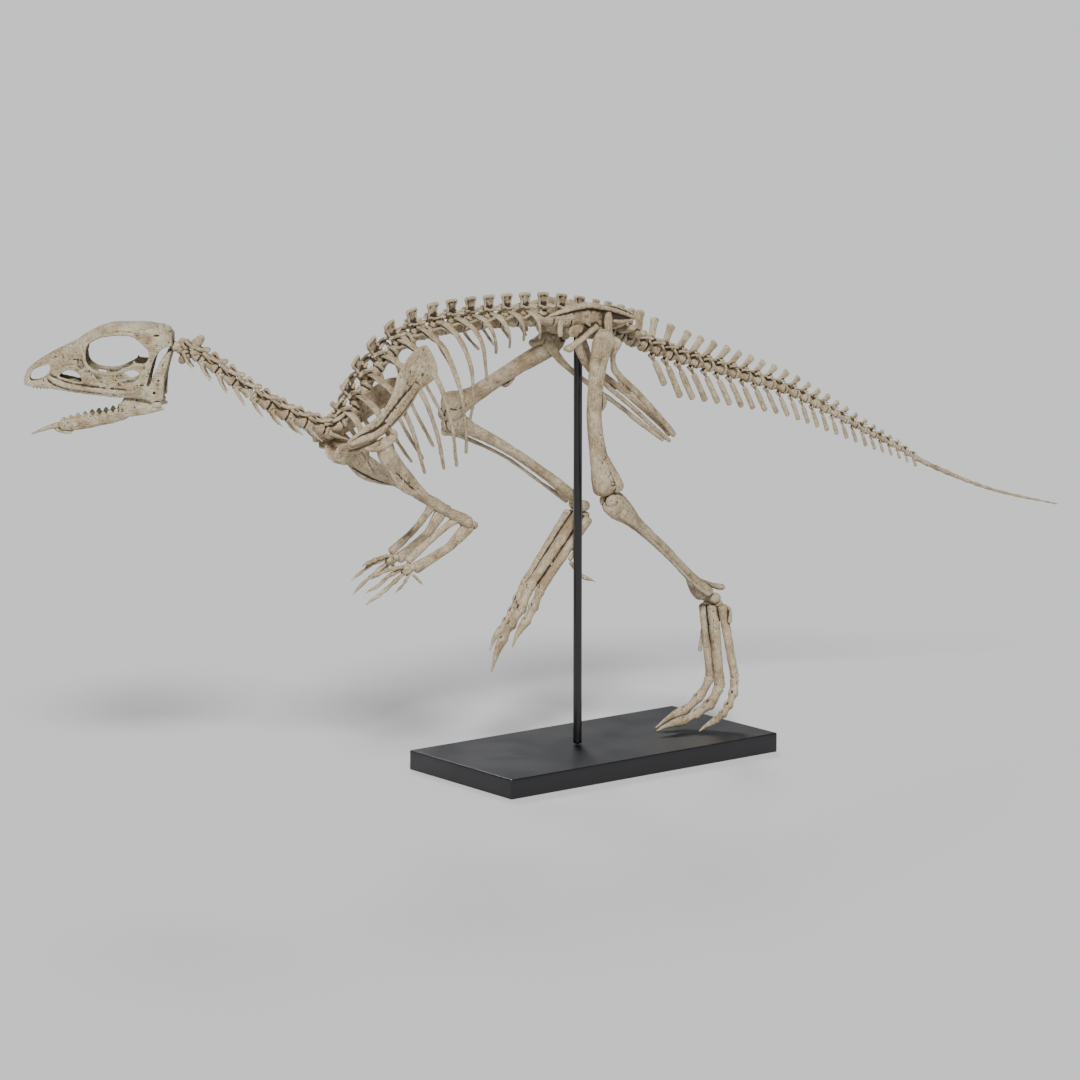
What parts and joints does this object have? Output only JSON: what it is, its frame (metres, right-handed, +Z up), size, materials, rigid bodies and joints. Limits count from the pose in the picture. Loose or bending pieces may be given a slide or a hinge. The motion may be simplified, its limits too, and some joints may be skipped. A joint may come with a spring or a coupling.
{
  "type": "mounted dinosaur skeleton",
  "caption": "Skeleton of a small two-legged plant-eating dinosaur, mounted life-size in a running pose on an upright rod and a flat rectangular base.",
  "frame": {"origin": "centre of the base's underside", "axes": "+X from the head towards the tail, -Y to the animal's left side, +Z up"},
  "size_m": [1.5445, 0.3024, 0.6116],
  "materials": {
    "bone": "matt weathered fossil bone, warm grey-beige with brown crevices",
    "skull_bone": "smooth matt fossil bone, grey-beige",
    "rod": "satin black paint",
    "base": "satin black lacquer"
  },
  "bodies": {
    "root": {"stand_base": "base", "stand_rod": "rod", "skull": "skull_bone", "lower_jaw": "skull_bone", "neck_front": "bone", "neck_rear": "bone", "chest_left": "bone", "chest_right": "bone", "sacrum": "bone", "tail_1": "bone", "tail_2": "bone", "tail_3": "bone", "tail_4": "bone", "ilium_left": "bone", "pubis_left": "bone", "ischium_left": "bone", "scapula_left": "bone", "coracoid_left": "bone", "sternum_left": "bone", "humerus_left": "bone", "radius_left": "bone", "ulna_left": "bone", "hand_left": "bone", "femur_left": "bone", "tibia_left": "bone", "fibula_left": "bone", "ankle_left": "bone", "metatarsus_left": "bone", "toe_2_left": "bone", "toe_3_left": "bone", "toe_4_left": "bone", "ilium_right": "bone", "pubis_right": "bone", "ischium_right": "bone", "scapula_right": "bone", "coracoid_right": "bone", "sternum_right": "bone", "humerus_right": "bone", "radius_right": "bone", "ulna_right": "bone", "hand_right": "bone", "femur_right": "bone", "tibia_right": "bone", "fibula_right": "bone", "ankle_right": "bone", "metatarsus_right": "bone", "toe_2_right": "bone", "toe_3_right": "bone", "toe_4_right": "bone", "toe_1_right": "bone"}
  },
  "joints": []
}
